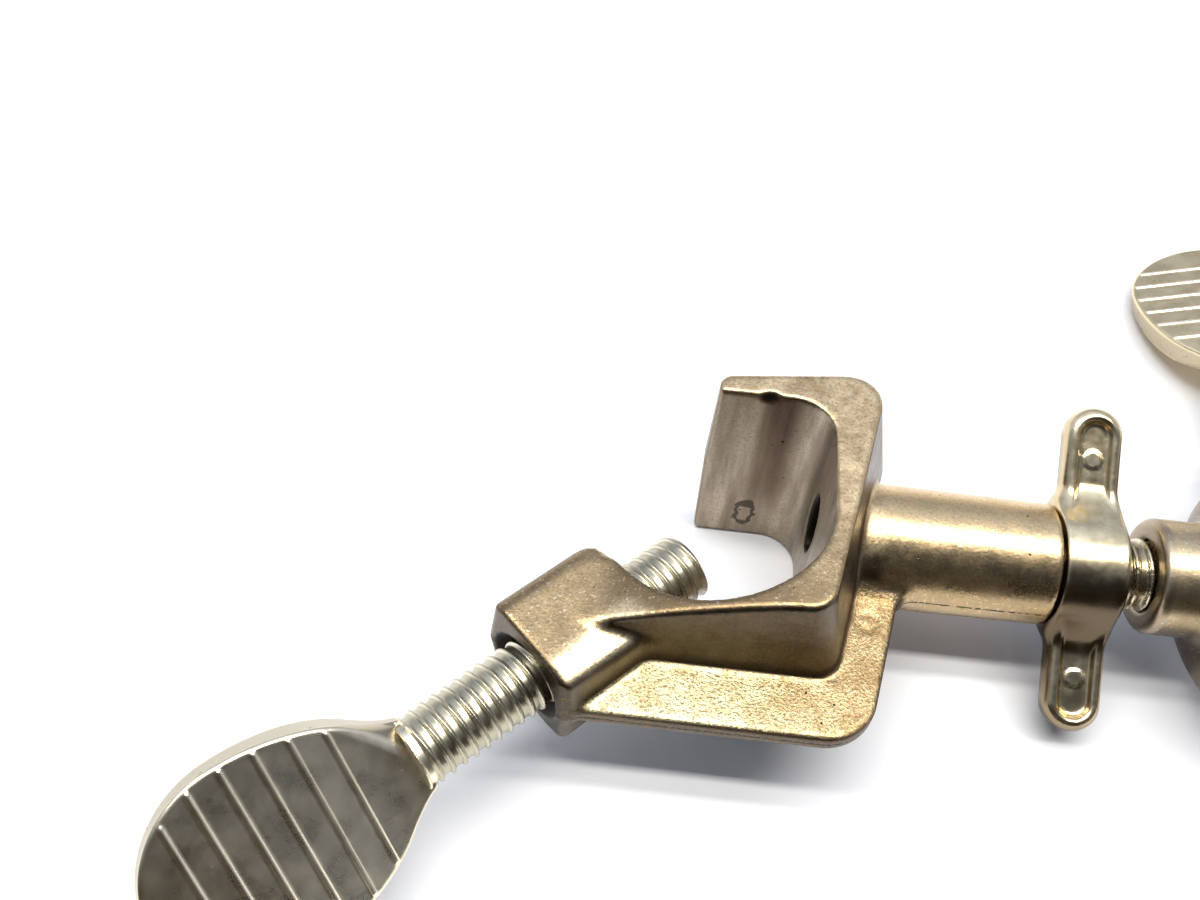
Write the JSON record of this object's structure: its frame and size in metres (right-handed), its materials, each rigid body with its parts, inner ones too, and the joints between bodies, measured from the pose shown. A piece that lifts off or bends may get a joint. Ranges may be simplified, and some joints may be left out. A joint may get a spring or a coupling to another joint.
{
  "type": "swivel boss head clamp",
  "caption": "Swivel boss head clamp: cast rod jaws turn about a shared axis locked by a wing nut, each closed by a thumb screw with an oval spade.",
  "frame": {"origin": "axis of a 12.7 mm rod seated in the first jaw's corner, in the parting plane of that casting", "axes": "+X along the swivel axis from the first jaw to the second, +Z along the rod of the first jaw, +Y towards that jaw's plain arm"},
  "size_m": [0.1377, 0.1219, 0.0279],
  "materials": {
    "nickel_casting": "nickel-plated zinc die casting, satin, faintly grained",
    "nickel_wing_nut": "nickel-plated zinc die casting, smooth, brighter",
    "screw_steel": "zinc-plated steel, dulled, with rust specks",
    "stud_steel": "plated steel, rolled thread"
  },
  "bodies": {
    "jaw_head": {"jaw_head": "nickel_casting"},
    "thumb_screw": {"thumb_screw": "screw_steel"},
    "swivel_head": {"swivel_head": "nickel_casting", "swivel_stud": "stud_steel"},
    "wing_nut": {"wing_nut": "nickel_wing_nut"},
    "swivel_thumb_screw": {"swivel_thumb_screw": "screw_steel"}
  },
  "joints": [
    {"name": "swivel", "type": "hinge", "parent": "jaw_head", "child": "swivel_head", "pos_m": [0.03275, -0.00265, 0], "axis": [1, 0, 0], "continuous": true},
    {"name": "wing_nut_turn", "type": "hinge", "parent": "swivel_head", "child": "wing_nut", "pos_m": [0.03675, -0.00265, 0], "axis": [1, 0, 0], "continuous": true},
    {"name": "thumb_screw_advance", "type": "slide", "parent": "jaw_head", "child": "thumb_screw", "axis": [0.7071, 0.7071, 0], "range_m": [-0.01, 0.013]},
    {"name": "swivel_thumb_screw_advance", "type": "slide", "parent": "swivel_head", "child": "swivel_thumb_screw", "axis": [0, -0.989, 0.1478], "range_m": [-0.009, 0.0125]}
  ]
}
